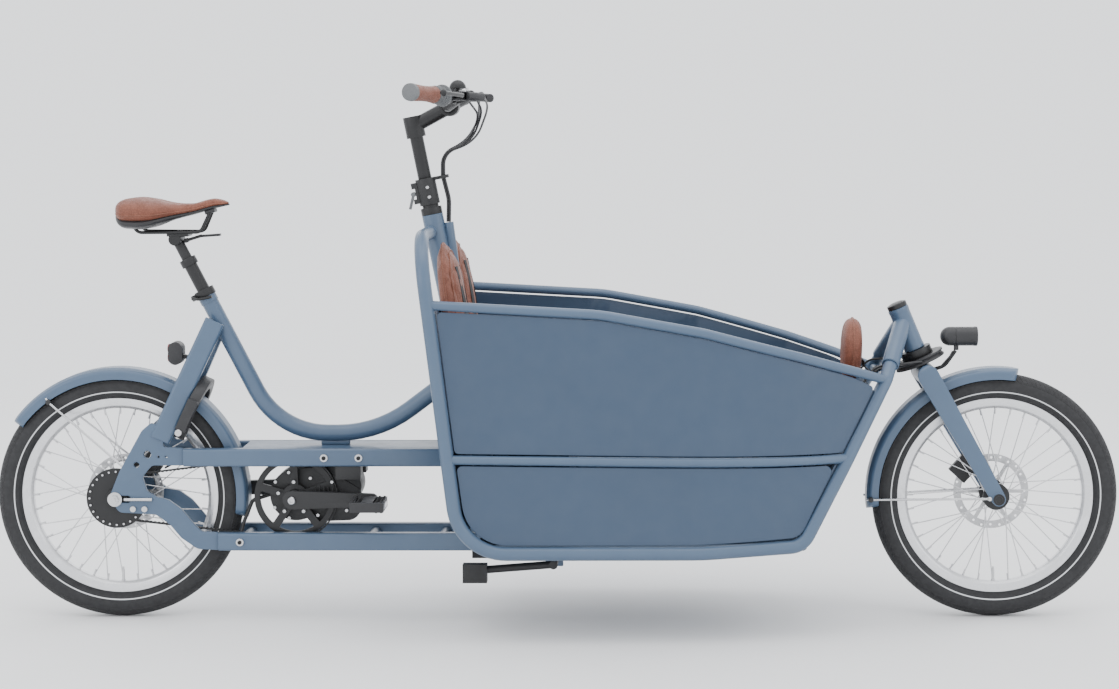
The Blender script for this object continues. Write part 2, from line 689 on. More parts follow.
def side_panel(name, corners, radii, node):
    v, f, uv, m = plate(bend(corners, radii, closed=True), 0, 4, bevel=1.2)
    b = bmesh.new()
    points = [b.verts.new(p) for p in v]
    for face in f:
        b.faces.new([points[k] for k in face])
    for x in np.arange(24, 700, 18):
        bmesh.ops.bisect_plane(b, geom=b.verts[:] + b.edges[:] + b.faces[:], plane_co=(x, 0, 0),
            plane_no=(1, 0, 0), dist=1e-4)
    b.verts.index_update()
    v = A([p.co[:] for p in b.verts])
    f = [[q.index for q in face.verts] for face in b.faces]
    b.free()
    v[:, 1] -= half_w(v[:, 0])
    return piece(name, "frame", both((v, f, np.zeros((sum(map(len, f)), 2)), 0)), panel_paint, [node],
        sharp=30)


edge, thin = loop_r + 2.5, rail_r + 2.5
top = [(x, z - thin) for x, z in rim_line]
side_panel("upper_panel_skin",
    [(leg_x(386) + edge, 373 + thin), (300, 367 + thin), (490, 365 + thin), diag_at(364 + thin, edge),
    diag_at(nose[1] - 12, edge + 1), top[4], top[3], top[2], top[1], (leg_x(668) + edge, 681 - thin - 1)],
    [10, 250, 200, 14, 8, 200, 250, 250, 300, 10], "upper_panels")
side_panel("lower_panel_skin",
    [(leg_x(360) + edge, 373 - thin), (leg_x(sill_z) + edge, sill_z + edge), (300, sill_z + edge + 1),
    (sill_front[0] - 4, sill_front[1] + edge + 2), diag_at(300, edge), diag_at(364 - thin, edge),
    (490, 365 - thin), (300, 367 - thin)],
    [10, 91, 250, 34, 400, 14, 200, 250], "lower_panels")

# %% [markdown]
# ## Mudguards
#
# The section is a shallow arch 68 mm wide and 2 mm thick with short skirts. It is turned about the
# axle, and both ends close in like a quarter circle.

# %%
def arch(r, half, skirt, t=2.2):
    """Closed outline (radius, y) of a mudguard: skirts at the sides, a flat arch over the tyre."""
    outer = bend([(r - skirt, -half), (r - 2, -half), (r + 4, -half * 0.55), (r + 4, half * 0.55),
        (r - 2, half), (r - skirt, half)], 9)
    centre = A([r - 30, 0])
    inner = outer - t * np.array([unit(p - centre) for p in outer])
    return np.vstack([outer, inner[::-1]])


guards = [tube_paint, steel, black_plastic]
for name, body, cx, a0, a1, ends in (
        ("rear_guard", "frame", -axle_x, -10, 145, ([-900, 59.4, 322], [-1062, 36, 458])),
        ("front_guard", "fork", axle_x, 80, 186, ([900, 73.8, 260], [657, 36, 252]))):
    shell = spin(arch(267, 34, 20), (cx, 0, axle_z), a0, a1, 120, taper=4)
    a, b = A(ends[0]), A(ends[1])
    rods = both(tube([a, b, b + unit(A([b[0] - cx, 0, b[2] - axle_z])) * 9 - A([0, 3, 0])], [12], 2.5, m=1,
        n=12),
        turned([(-3, 0), (-3, 4.5), (4, 4.5), (5, 3.5), (5, 0)], a, a + A([0, 1, 0]), 20, m=1),
        turned([(-2.5, 0), (-2.5, 5.5), (2, 5.5), (3.2, 4), (3.2, 0)], b + A([0, 1, 0]), b + A([0, 2, 0]),
        20, m=2))
    if body == "fork":
        d = unit(crown - A([cx, 0, axle_z]))
        reach = np.linalg.norm(crown - A([cx, 0, axle_z])) - 22
        boss = [tube([A([cx, 0, axle_z]) + d * 268, A([cx, 0, axle_z]) + d * reach], [], 8)]
    else:
        d = unit(A([cx, 0, axle_z]) - bridge)
        boss = [tube([bridge + d * 9, bridge + d * (np.linalg.norm(A([cx, 0, axle_z]) - bridge) - 268)], [],
            5, m=2, up=(0, 1, 0))]
    piece(name + "_skin", body, [shell] + rods + boss, guards, [name])

# %% [markdown]
# ## Fork
#
# Each blade is a rounded section swept from the crown to the axle. Its depth is the hull of two
# circles, 22 mm at the crown and 15 mm at the axle: beyond each centre it closes as a circle does.

# %%
leg_end = A([918, 0, 262])
flat_crown = A([crown[0], 0, crown[2]])
length = np.linalg.norm(leg_end - flat_crown)
s = np.r_[-22 * np.cos(np.linspace(0.12, np.pi / 2, 10)), np.linspace(10, length - 10, 16),
    length + 15 * np.sin(np.linspace(0, 1.45, 10))]
depth = np.where(s < 0, np.sqrt(np.clip(484 - s**2, 1, None)),
    np.where(s > length, np.sqrt(np.clip(225 - (s - length) ** 2, 1, None)), 22 - 7 * s / length))
run = unit(leg_end - flat_crown)
blade = part(sweep(flat_crown + A([0, 60, 0]) + run * s[:, None], round_rect(22, 2, 0.95), (0, 1, 0),
    grow=np.stack([np.clip(depth / 16, 0.3, 1), depth], 1)))
fork_parts = both(blade, turned([(-12, 0), (-12, 13), (-11, 14.5), (11, 14.5), (12, 13), (12, 0)],
    leg_end + [2, 60, -4], leg_end + [2, 61, -4], 32))
fork_parts += [tube([[crown[0], -60, crown[2]], [crown[0], 60, crown[2]]], [], 22, n=36),
    tube([fork_o - 40 * fork_dir, fork_o + 118 * fork_dir], [], 14.3)]
lamp_pin = A([836, 0, 569])
fork_parts += [tube([[crown[0] + 18, 0, crown[2] + 8], [812, 0, 530], lamp_pin - [1, 0, 6]], [30], 4, m=1,
    n=16)]
piece("fork_skin", "fork", fork_parts, [tube_paint, black_metal], ["fork"])

# %% [markdown]
# ## Wheels
#
# A tyre is a circle of 28 mm cut open at the beads and turned about the axle. Its v runs from bead
# to bead, so that the tread and the reflective band stay in place. The rim is a box section with
# sloping sides. The valve stands at the bottom, as it does at rest.

# %%
for end, cx in (("front", axle_x), ("rear", -axle_x)):
    a = np.radians(np.linspace(-149, 149, 61))
    tyre = np.stack([wheel_r - 28 + 28 * np.cos(a), 28 * np.sin(a)], 1)
    tyre = np.vstack([[205.5, -14], tyre[1:-1], [205.5, 14], [203.5, 0]])
    P, f, uv, m = spin(tyre, (cx, 0, axle_z), n=220)
    uv = uv * (1, len(tyre) / 60)
    piece(end + "_tyre_skin", end + "_wheel", [(P, f, uv, m)], tyre_rubber, [end + "_tyre"],
        sharp=60)
    half_rim = [(184, -6.5), (190, -12), (198, -14.2), (206, -15), (206.3, -12.5), (203, -10)]
    rim_radii = [2, 6, 4, 0.8, 0.8, 1]
    rim = bend(half_rim + [(r, -y) for r, y in half_rim[::-1]], rim_radii + rim_radii[::-1], closed=True)
    valve = A([cx, 0, axle_z - 184])
    nipples = []
    for k in range(36):
        t = math.radians(10 * k)
        d, y = A([math.cos(t), 0, math.sin(t)]), 3 if k % 2 == 0 else -3
        at = A([cx, -y, axle_z])
        nipples.append(turned([(171, 0.01), (171, 1.8), (180, 1.9), (185, 2.6), (185.2, 0)], at, at + d, 10,
            m=1))
    nipples.append(turned([(0, 0), (0, 4), (3, 4), (3, 3), (24, 3), (25, 2.2), (30, 2.2), (30.5, 0)], valve,
        valve + A([0, 0, 1]), 16, m=1))
    piece(end + "_rim_skin", end + "_wheel", [spin(rim, (cx, 0, axle_z), n=180)] + nipples, [alloy, steel],
        [end + "_rim"])

# %% [markdown]
# ## Seat post, lamp and handlebar
#
# The seat post is two round tubes with a collar nut, and carries the rails of the saddle. The
# headlight is a turned bullet with a lens: a shallow dome with a ring of prisms in its bump.

# %%
post_len = (797 - 677) / math.cos(math.radians(27))


def seat_at(s):
    return seat_top + seat_dir * s


top = seat_at(post_len)
post = [tube([seat_at(-146), seat_at(post_len - 62)], [], 13.6, n=36),
    turned([(0, 13), (0, 17.2), (1, 17.6), (15, 17.6), (16, 17), (16, 0)], seat_at(post_len - 62),
    seat_at(post_len), 40),
    tube([seat_at(post_len - 47), seat_at(post_len - 4)], [], 11, m=1),
    turned([(0, 0), (0, 12), (1, 13), (51, 13), (52, 12), (52, 0)], top - [0, 26, 0], top + [0, 26, 0], 32),
    bar(top + [-16, 0, 10.5], top + [28, 0, 10.5], 54, 9, 3, 1.2),
    turned([(0, 0), (0, 5), (4, 5), (5, 4), (5, 0)], top + [6, 0, 14], top + [6, 0, 24], 6, m=1)]
post += both(tube([[-878, 40, 846], [-872, 38, 812], [-740, 22, 812], [-722, 16, 852]], [16, 16], 3.5, m=2,
    n=16))
piece("seat_post_skin", "seat", post, [black_metal, cast_black, black_metal], ["seat_post"])

lens = Material("lamp_lens", Coat_Weight=0.6, Coat_Roughness=0.05, Specular_IOR_Level=0.6)
rings = (lens.node("VectorMath", out=1, inputs={0: lens.where, 1: (0.88, 0, 0.593)},
    operation="DISTANCE") * 900).sin()
lens.give("Base Color", lens.mix(lens.span(rings, -1, 1), (0.5, 0.52, 0.55, 1), (0.85, 0.87, 0.9, 1)))
lens.give("Roughness", lens.span(rings, -1, 1, 0.12, 0.3))
lens.bump(rings, 0.0006, 0.8)
red = Material("red_lens", Coat_Weight=0.5, Coat_Roughness=0.08)
facets = red.cells(260, feature="DISTANCE_TO_EDGE")
red.give("Base Color", red.mix(red.span(facets, 0, 0.2), (0.1, 0.004, 0.004, 1), (0.42, 0.015, 0.012, 1)))
red.give("Roughness", red.span(facets, 0, 0.2, 0.35, 0.15))
red.bump(facets, 0.001, 0.7)

nose_curve = [(20 * (1 - math.cos(t)), 20 * math.sin(t)) for t in np.linspace(0, np.pi / 2, 12)]
piece("headlight_skin", "lamp", [
    turned(nose_curve + [(30, 20), (31, 19.2), (32, 19.2), (33, 20), (70, 20), (71.5, 20.6), (76, 20.6),
    (77.5, 19.8), (77.5, 0)], [802, 0, 593], [900, 0, 593], 48),
    turned([(0, 18), (0.5, 18.4), (2.2, 17), (3, 12), (3.4, 0)], [876.6, 0, 593], [900, 0, 593], 48, m=1),
    bar([836, 0, 564], [836, 0, 577], 10, 10, 3, 1)],
    [black_plastic, lens.data], ["headlight"])
piece("lamp_wire", "fork",
    [tube([[786, -12, 520], [800, -14, 528], [822, -9, 552], [828, -5, 562]], [12, 12], 1.6, n=10)], jacket)

clamp = A([-222, 0, 1072])
knee, tip = A([-193, -112, 1090]), A([-274, -300, 1099])
piece("handlebar_skin", "handlebar", both(tube([clamp, clamp + [0, -56, 0], knee, tip], [22, 40], 11, n=32),
    turned([(0, 0), (0, 11), (4, 12.4), (30, 12.7), (30, 0)], clamp + [0, -32, 0], clamp + [0, 5, 0], 32)),
    black_metal, ["handlebar"])

along_bar = unit(knee - tip)
GRIP = [(-6, 0), (-5.5, 9), (-4, 13.5), (0, 16.2), (6, 17.2), (20, 16.6), (45, 15.4), (70, 15.6),
    (86, 16.8), (92, 17), (94, 15), (94, 11.5)]


def bar_part(profile, s=1, n=40, m=0, at=0):
    """A profile turned about the bar, measured from its end; s = -1 for the right side, 1 for the left."""
    k = A([1, -s, 1])
    return turned([(x + at, r) for x, r in profile], tip * k, (tip + along_bar) * k, n, m)


def wing(s, long, m=0):
    """The palm rest of an ergonomic grip: a flat lobe behind the bar that thins towards its edge."""
    k = A([1, -s, 1])
    back = unit(np.cross(along_bar, (0, 0, 1))) * -1
    x = np.linspace(-5, long * 0.62, 22)
    wide = 25 * np.sin(np.pi * np.clip((x + 5) / (long * 0.62 + 5), 0.02, 0.98)) ** 0.45
    a = np.linspace(0, 2 * np.pi, 28, endpoint=False)
    reach = wide[:, None] * (0.5 + 0.5 * np.cos(a))
    lift = np.clip(wide / 25, 0.2, 1)[:, None] * 6.5 * np.sin(a) - 1
    P = (tip + along_bar * x[:, None])[:, None] + back * reach[..., None] + A([0, 0, 1]) * lift[..., None]
    return part(P * k, m=m)


piece("grip_right", "handlebar",
    [bar_part(GRIP, -1), wing(-1, 94),
    bar_part([(-8.4, 0), (-8.2, 12), (-6, 17.2), (1.5, 18), (4, 17.4), (4, 15)], -1, m=1)],
    [tan, grey_plastic], ["grips"])
piece("grip_left", "handlebar",
    [bar_part([(x * 1.32 if x > 0 else x, r) for x, r in GRIP], 1), wing(1, 124),
    bar_part([(-8.4, 0), (-8.2, 12), (-6, 17.2), (1.5, 18), (4, 17.4), (4, 15)], 1, m=1)],
    [tan, grey_plastic], ())

# %% [markdown]
# ## Small machined and moulded parts
#
# `polish` copies a CAD node, merges its flat triangles, rounds its sharp edges and shades it smooth.
# `pick` may give some faces a second material by their centre. The CAD node itself stays as it is.

# %%
def polish(node, body, materials, width=0.5, pick=None, extra=(), sharp=32):
    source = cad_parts[node].data
    b = bmesh.new()
    b.from_mesh(source)
    bmesh.ops.remove_doubles(b, verts=b.verts, dist=2e-6)
    bmesh.ops.dissolve_limit(b, angle_limit=math.radians(0.6), verts=b.verts, edges=b.edges)
    if width:
        hard = [e for e in b.edges if e.is_manifold and e.calc_face_angle(0) > math.radians(sharp)]
        bmesh.ops.bevel(b, geom=hard, offset=width * 0.001, segments=2, profile=0.6, affect="EDGES",
            clamp_overlap=True)
    mesh = bpy.data.meshes.new(node + "_skin")
    b.to_mesh(mesh)
    b.free()
    v = A([p.co[:] for p in mesh.vertices]) * 1000
    faces = [list(f.vertices) for f in mesh.polygons]
    marks = [0] * len(faces) if pick is None else [int(pick(v[f].mean(0))) for f in faces]
    groups = []
    for k in sorted(set(marks)):
        mine = [f for f, mark in zip(faces, marks) if mark == k]
        used = sorted({i for f in mine for i in f})
        at = {old: new for new, old in enumerate(used)}
        groups.append((v[used], [[at[i] for i in f] for f in mine], np.zeros((sum(map(len, mine)), 2)), k))
    bpy.data.meshes.remove(mesh)
    return piece(node + "_skin", body, groups + list(extra), materials, [node], sharp=30)


def knob(at, axis, r, h, m=0, n=24, dome=0.25):
    """A screw or boss: a short cylinder with a slightly domed face."""
    at = A(at, float)
    return turned([(-1, 0), (-1, r), (h * 0.75, r), (h, r * 0.86), (h * (1 + dome * 0.3), r * 0.4),
        (h * (1 + dome * 0.4), 0)], at, at + A(axis, float), n, m=m)


def socket_screw(at, axis, r, m=0):
    """A cap screw: a collar with a deep hexagon-like well."""
    at = A(at, float)
    return turned([(-1, 0), (-1, r), (r * 0.8, r), (r, r * 0.85), (r, r * 0.55), (r * 0.3, r * 0.5),
        (r * 0.3, 0)], at, at + A(axis, float), 12, m=m)


crank_c = A([-548, 0, 260])
arm = lambda s, x: crank_c + [-s * x, s * 93, 0]
crank_extra = [socket_screw(crank_c + [0, s * 93, 0], (0, s, 0), 8, 1) for s in (1, -1)]
crank_extra += [knob(arm(s, 165) - [0, s * 14.5, 0], (0, -s, 0), 7, 1.5, 1, 6) for s in (1, -1)]
polish("cranks", "crankset", [cast_black, steel], 1.2, extra=crank_extra)
ring_screws = [socket_screw(crank_c + [34 * math.cos(t), -61, 34 * math.sin(t)], (0, -1, 0), 4, 1)
    for t in np.radians(np.arange(0, 360, 72) + 18)]
polish("front_belt_wheel", "crankset", [black_metal, steel], 0.4, extra=ring_screws)
rivets = [knob([-axle_x + 56 * math.cos(t), -54, axle_z + 56 * math.sin(t)], (0, -1, 0), 2.2, 1, 1, 10)
    for t in np.linspace(0, 2 * np.pi, 24, endpoint=False)]
polish("rear_belt_wheel", "driver", [black_metal, steel], 0.4, extra=rivets)
case_screws = (
    (-588, 292), (-560, 312), (-515, 300), (-470, 292), (-428, 262), (-440, 232), (-500, 222), (-560, 216),
    (-590, 238))
motor_extra = []
for s, face_y in ((1, 50.5), (-1, 48.5)):
    motor_extra += [socket_screw([x, s * face_y, z], (0, s, 0), 3.6, 1) for x, z in case_screws]
ribs = [bar([-505 + 9 * k, -48, 240 + 2 * k], [-505 + 9 * k, -48, 286 - 1.5 * k], 5, 2.6, 1, 0.6)
    for k in range(7)]
polish("motor", "frame", [cast_black, steel], 2.0, extra=motor_extra + ribs + [
    tube([[-600, -20, 262], [-640, -24, 250], [-660, -30, 200], [-664, -50, 170]], [14, 14], 4, n=14)])

polish("front_hub", "front_wheel", [black_metal, disc_steel], 0.15, pick=lambda c: c[1] > 44,
    sharp=40)
polish("rear_hub", "rear_wheel", [black_metal, disc_steel], 0.15, pick=lambda c: c[1] > 42,
    sharp=40)
for end in ("front", "rear"):
    polish(end + "_spokes", end + "_wheel", [steel], 0)
polish("front_caliper", "fork", [cast_black, steel], 1.4, extra=[
    socket_screw([852, 48.4, 318], (0, 1, 0), 4, 1), socket_screw([872, 48.4, 292], (0, 1, 0), 4, 1)])
polish("rear_caliper", "frame", [cast_black, steel], 1.4, extra=[
    socket_screw([-860, 52, 332], (0, 1, 0), 4, 1), socket_screw([-882, 52, 306], (0, 1, 0), 4, 1)])
polish("front_axle", "fork", [black_metal], 0.6)
polish("rear_axle", "frame", [steel], 0.5)
polish("frame_bolts", "frame", [steel, black_metal], 0.9, extra=[
    socket_screw([x, s * 77.5, z], (0, s, 0), 4.5, 1) for x, z in ((-483, 346), (-411, 346), (-660, 169))
    for s in (1, -1)])
polish("ring_lock", "frame", [black_plastic, steel], 2.0,
    extra=[knob([-782, -86, 400], (0, -1, 0), 7, 3, 1)])
polish("frame_collars", "frame", [black_metal], 0.8, extra=[
    knob(seat_at(8) + [-24, -7, -12], (0, -1, 0), 4, 4),
    tube([seat_at(8) + [-24, -12, -12], seat_at(8) + [-10, -24, -12], seat_at(8) + [18, -27, -6]], [12],
    3.2, n=14)])
polish("steer_tube", "steering", [black_metal], 0.5)
polish("lifter_clamp", "steering", [cast_black, steel], 1.0, extra=[
    socket_screw([-268, -21, 905], (0, -1, 0), 3.5, 1), socket_screw([-264, -21, 885], (0, -1, 0), 3.5, 1)])
polish("lifter_lever", "lifter", [grey_plastic], 0.8)
polish("handlebar_post", "handlebar", [black_metal, steel], 1.2, extra=[
    socket_screw([-222 + 14 * c, s * 14, 1072 + 16], (0, 0, 1), 3, 1) for s in (1, -1)
    for c in (0.9, -0.9)])
polish("brake_lever_right", "right_lever", [black_metal], 0, sharp=40)
polish("brake_lever_left", "left_lever", [black_metal], 0, sharp=40)
knurl = [bar_part([(0, 17), (0.2, 18.2), (3.2, 18.2), (3.4, 17)], -1, at=97 + 6.5 * k) for k in range(4)]
polish("twist_shifter", "shifter", [grey_plastic], 0.8, extra=knurl)
polish("bell_striker", "striker", [steel], 0.6)
polish("assist_button", "button", [grey_plastic], 1.0)
polish("bell", "handlebar", [black_metal], 0, sharp=50)
polish("saddle_lever", "height_lever", [black_metal], 1.2)
polish("kickstand", "stand", [cast_black, rubber], 1.2, pick=lambda c: c[0] < -150)
polish("front_pulley", "fork", [black_plastic], 1.0)
polish("column_tube", "frame", [tube_paint], 0.8)
polish("benches", "frame", [panel_paint], 1.2)
polish("box_shell", "frame", [panel_paint], 1.0)
polish("rear_light", "frame", [black_plastic, red.data, black_plastic], 1.2, extra=[
    plate(bend([(-812, 540), (-787, 540), (-787, 576), (-812, 576)], 12, closed=True), 0, 30, bevel=2, m=2),
    turned([(0, 10.5), (2.5, 9.5), (4, 6), (4.6, 0)], [-813.5, 0, 567], [-820, 0, 567], 32, m=1),
    turned([(0, 10.5), (2.5, 9.5), (4, 6), (4.6, 0)], [-813.5, 0, 549], [-820, 0, 549], 32, m=1)])
for side, s in (("right", 1), ("left", -1)):
    c = crank_c + [s * 165, -s * 86, 0]
    pins = [knob(c + [x, -s * y, 10 * z], (0, 0, z), 2.2, 2.2, 1, 10) for x in (-29, -19, 19, 29)
        for y in (22, 40, 58, 76, 94) for z in (1, -1)]
    lamps = [bar(c + [x, -s * 45, 0], c + [x, -s * 80, 0], 11, 2.4, 0.8, 0.5, m=2, up=(0, 0, 1))
        for x in (-34.5, 34.5)]
    polish("pedal_" + side, side + "_pedal", [black_plastic, rubber, lens.data], 1.2,
        extra=pins + lamps)

glass = Material("display_glass", Coat_Weight=1.0, Coat_Roughness=0.04, Specular_IOR_Level=0.5)
glass.give("Base Color", glass.mix(glass.noise(60, 4), (0.008, 0.009, 0.01, 1), (0.016, 0.018, 0.02, 1)))
glass.give("Roughness", glass.span(glass.noise(90, 3), 0.3, 0.7, 0.08, 0.2))
display_tilt = math.radians(24)
face = A([-216, 0, 1106]) + A([-math.sin(display_tilt), 0, math.cos(display_tilt)]) * 5.8
slope = A([math.cos(display_tilt), 0, math.sin(display_tilt)])
polish("bar_controls", "handlebar", [black_plastic, glass.data, steel], 1.0, extra=[
    bar(face - slope * 18, face + slope * 18, 50, 1.6, 0.7, 0.5, m=1)])

# %% [markdown]
# ## Belt
#
# The belt runs straight between its two wheels and wraps both. Its section is 11 mm wide with a row
# of teeth inside: the depth rises and falls 138 times round the loop.

# %%
a, b = A([-axle_x, axle_z]), A([crank_c[0], crank_c[2]])
ra, rb = 41.3, 85.3
gap_ab = np.linalg.norm(b - a)
aim = math.atan2(b[1] - a[1], b[0] - a[0])
open_angle = math.acos((ra - rb) / gap_ab)
t1, t2 = np.linspace(aim + open_angle, aim + 2 * np.pi - open_angle, 30), np.linspace(aim - open_angle,
    aim + open_angle, 50)
round_a = a + (ra + 2) * np.stack([np.cos(t1), np.sin(t1)], 1)
round_b = b + (rb + 2) * np.stack([np.cos(t2), np.sin(t2)], 1)
path = np.vstack([round_a, round_b, round_a[:1]])
run = np.r_[0, np.cumsum(np.linalg.norm(np.diff(path, axis=0), axis=1))]
at = np.linspace(0, run[-1], 138 * 6, endpoint=False)
path = np.stack([np.interp(at, run, path[:, 0]), np.interp(at, run, path[:, 1])], 1)
out = np.roll(path, -1, 0) - np.roll(path, 1, 0)
out = np.stack([out[:, 1], -out[:, 0]], 1) / np.linalg.norm(out, axis=1, keepdims=True)
if (out[0] @ (path[0] - a)) < 0:
    out = -out
inner = 1.7 - 1.5 * np.clip(np.sin(np.arange(len(at)) / 6 * 2 * np.pi) * 2, -0.4, 1) / 2
rings = []
for k, (p, o) in enumerate(zip(path, out)):
    q = [p + o * h for h in (1.9, 1.9, -inner[k] + 0.4, -inner[k] + 0.4)]
    rings.append([[q[0][0], -48, q[0][1]], [q[1][0], -37, q[1][1]], [q[2][0], -37, q[2][1]],
        [q[3][0], -48, q[3][1]]])
piece("belt_skin", "frame", [part(rings, (True, True))], rubber, ["belt"], sharp=50)

# %% [markdown]
# ## Soft pads
#
# A pad starts as a pillow a little smaller than its CAD solid: an outline shrunk by cos(a)^0.32 while
# its depth follows sin(a). It is remeshed into even cells and blown up as cloth with pressure and no
# gravity; the side that rests on its board is pinned. No point may move more than 9 mm.

# %%
def pillow(outline, depth, at, across, up, m=0, n=15):
    """A closed pillow: the outline (across, up) in the middle, closing to a point on both faces."""
    a = np.linspace(-np.pi / 2, np.pi / 2, n)
    k = np.clip(np.cos(a), 0, 1) ** 0.32
    o = A(outline, float)
    across, up = A(across, float), unit(up)
    out = np.cross(across, up)
    flat = o[None, :, :1] * across + o[None, :, 1:] * up
    rise = (np.sin(a) * depth / 2)[:, None, None] * out
    return part(A(at, float) + k[:, None, None] * flat + rise, m=m)


def baked(made):
    """The modifiers of an object made real."""
    mesh = bpy.data.meshes.new_from_object(made.evaluated_get(bpy.context.evaluated_depsgraph_get()))
    old = made.data
    made.modifiers.clear()
    made.data = mesh
    bpy.data.meshes.remove(old)
    return made


def stuffed(name, parts, pinned, cell=5.0, pressure=4.0, cap=0.009):
    made = build(name, parts, tan)
    mod = made.modifiers.new("even", "REMESH")
    mod.mode, mod.voxel_size, mod.use_smooth_shade = "VOXEL", cell * 0.001, True
    baked(made)
    co = A([v.co for v in made.data.vertices])
    group = made.vertex_groups.new(name="pin")
    for i in np.flatnonzero([pinned(p * 1000) for p in co]):
        group.add([int(i)], 1.0, "REPLACE")
    cloth = made.modifiers.new("cloth", "CLOTH")
    s = cloth.settings
    s.vertex_group_mass = "pin"
    s.use_pressure, s.uniform_pressure_force, s.mass, s.quality = True, pressure, 0.3, 5
    s.tension_stiffness = s.compression_stiffness = 18
    s.bending_stiffness = 1.5
    s.effector_weights.gravity = 0
    cloth.point_cache.frame_start, cloth.point_cache.frame_end = 1, 20
    for k in range(1, 21):
        scene.frame_set(k)
    baked(made)
    new = A([v.co for v in made.data.vertices])
    if len(new) == len(co):
        move = new - co
        far = np.linalg.norm(move, axis=1, keepdims=True)
        new = co + move * np.minimum(1, cap / np.maximum(far, 1e-9))
        made.data.vertices.foreach_set("co", new.ravel())
    scene.frame_set(1)
    made.modifiers.new("smooth", "SMOOTH").iterations = 3
    made.modifiers.new("finer", "SUBSURF").levels = 1
    baked(made)
    made.data.materials.clear()
    made.data.materials.append(tan)
    made.data.shade_smooth()
    return made


def on_skin(made, points, lift=0.0):
    """Points laid on a mesh along its nearest faces, and the normals there, in millimetres."""
    found = [made.closest_point_on_mesh(Vector(A(p) * 0.001)) for p in points]
    n = A([f[2][:] for f in found])
    return A([f[1][:] for f in found]) * 1000 + n * lift, n


def piping(made, points, r=2.0, lift=0.3, m=0):
    p, n = on_skin(made, points, lift)
    t = np.roll(p, -1, 0) - np.roll(p, 1, 0)
    t /= np.linalg.norm(t, axis=1, keepdims=True)
    b = np.cross(t, n)
    s = circle(r, 10)
    return part(p[:, None] + s[None, :, :1] * n[:, None] + s[None, :, 1:] * b[:, None], (True, True), m=m)


def strap(made, points, wide, thick=1.6, m=0):
    """Webbing laid on a pad: a flat ribbon that follows the skin."""
    p, n = on_skin(made, fine(points, [30] * (len(points) - 2)), 0.9)
    for _ in range(4):
        p[1:-1] = (p[:-2] + 2 * p[1:-1] + p[2:]) / 4
    t = np.gradient(p, axis=0)
    side = np.cross(t, n)
    side /= np.linalg.norm(side, axis=1, keepdims=True)
    s = round_rect(thick, wide, 0.7)
    return part(p[:, None] + s[None, :, :1] * n[:, None] + s[None, :, 1:] * side[:, None], m=m)


back_lean = math.radians(7)
lean = A([-math.sin(back_lean), 0, math.cos(back_lean)])
ahead = A([math.cos(back_lean), 0, math.sin(back_lean)])
stitch = leather("piping_leather", (0.22, 0.078, 0.046))
# Each harness strap, from the top: the share of its distance from the middle, and of the back's height
strap_line = ((1, 0.34), (1, 0.1), (0.85, -0.12), (0.35, -0.3))
backs, straps = [], []
for side, s in (("right", -1), ("left", 1)):
    foot = A([leg_x(470) + rail_r + 4.6, s * back_y, 470])
    mid = foot + lean * back_h / 2
    shell_form = pillow(round_rect(back_w - 6, back_h - 6, back_w / 2 - 6), back_t * 0.62,
        mid + ahead * back_t * 0.36, (0, 1, 0), lean)
    shell = stuffed("rear_backrest_" + side, [shell_form], lambda p: (p - foot) @ ahead < 5)
    dress(shell, "frame", ["backrests"] if s < 0 else ())
    rim = A([(y, z) for y, z in round_rect(back_w - 30, back_h - 30, back_w / 2 - 16)])
    ring = mid + ahead * back_t + rim[:, :1] * A([0, 1, 0]) + rim[:, 1:] * lean
    outer = A([(y, z) for y, z in round_rect(back_w, back_h, back_w / 2 - 3)])
    edge_ring = mid + ahead * back_t * 0.36 + outer[:, :1] * A([0, 1, 0]) + outer[:, 1:] * lean
    pad_form = pillow(round_rect(back_w - 52, back_h - 54, back_w / 2 - 28), back_t * 0.55,
        mid + ahead * back_t * 0.7, (0, 1, 0), lean)
    pad = stuffed("rear_pad_" + side, [pad_form], lambda p: (p - foot) @ ahead < back_t * 0.55)
    dress(pad, "frame", ())
    backs += [piping(shell, edge_ring, 2.6), piping(shell, ring, 1.6)]
    for y in (-34, 34):
        line = [mid + ahead * (back_t + 6) + A([0, y * k, 0]) + lean * back_h * h for k, h in strap_line]
        straps.append(strap(pad, line, 20))
    p, n = on_skin(pad, [mid + ahead * (back_t + 6) - lean * back_h * 0.31])
    straps.append(bar(p[0] + n[0] * 3 - lean * 16, p[0] + n[0] * 3 + lean * 16, 34, 9, 3.5, 1.5, m=1))
    straps.append(knob(p[0] + n[0] * 7, n[0], 8, 2.5, 2))
piece("backrest_piping", "frame", backs, stitch, ())
piece("harness", "frame", straps, [webbing_mark, black_plastic, red.data], ())

front_mid = A([616, 0, 566])
front = stuffed("front_backrest",
    [pillow(round_rect(130, 131, 62), 40, front_mid, (0, 1, 0), (0.035, 0, 1))],
    lambda p: p[0] > front_mid[0] + 15)
dress(front, "frame", ())
o = A(round_rect(134, 135, 64))
edge_ring = front_mid + o[:, :1] * A([0, 1, 0]) + o[:, 1:] * unit([0.035, 0, 1])
piece("front_piping", "frame", [piping(front, edge_ring, 2.4)], stitch, ())
a = np.radians(np.arange(-40, 201, 12))
hoop = A([nose[0], 0, nose[1]]) + 12.2 * np.stack([np.cos(a), 0 * a, np.sin(a)], 1)
hoop = np.vstack([[front_mid[0] + 24, 0, nose[1] + 30], [front_mid[0] + 26, 0, nose[1] + 16], hoop[::-1]])
piece("front_strap", "frame", [part(sweep(hoop, round_rect(66, 2.4, 1)))], webbing_mark, ())

